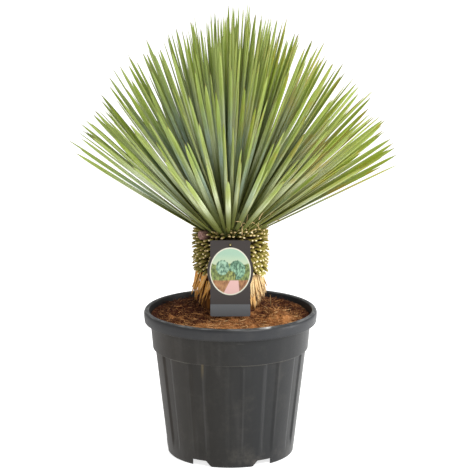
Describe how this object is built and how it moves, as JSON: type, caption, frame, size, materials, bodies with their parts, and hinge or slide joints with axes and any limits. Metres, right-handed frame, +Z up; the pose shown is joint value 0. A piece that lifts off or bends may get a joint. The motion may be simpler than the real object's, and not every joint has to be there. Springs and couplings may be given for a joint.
{
  "type": "potted beaked yucca",
  "caption": "Potted yucca: a round crown of stiff narrow leaves on a short stubbly trunk with a skirt of dry leaf bases, standing in coir in a ribbed nursery pot, with a hanging card label.",
  "frame": {"origin": "on the pot's axis at the level of the floor, which is the middle of the object's box from above", "axes": "+Z is up along the trunk, -Y is the front where the label hangs, and +X is to the right seen from the front"},
  "size_m": [0.5702, 0.5831, 0.803],
  "materials": {
    "pot_plastic": "dark grey moulded plastic, satin on the rim, with faint flow marks and dust",
    "coir": "loose brown coconut fibre, matt",
    "leaf_stub": "olive leaf stubs with pale dry cut ends, matt",
    "straw": "dry golden leaf bases, ribbed, matt",
    "leaf_green": "stiff grey-green leaf with thin pale yellow edges, satin",
    "label_card": "printed plastic card, dark grey with a plain garden picture, glossy"
  },
  "bodies": {
    "root": {"pot": "pot_plastic", "soil": "coir", "stem": "leaf_stub", "dry_leaf_skirt": "straw", "leaf_crown": "leaf_green", "plant_label": "label_card"}
  },
  "joints": []
}
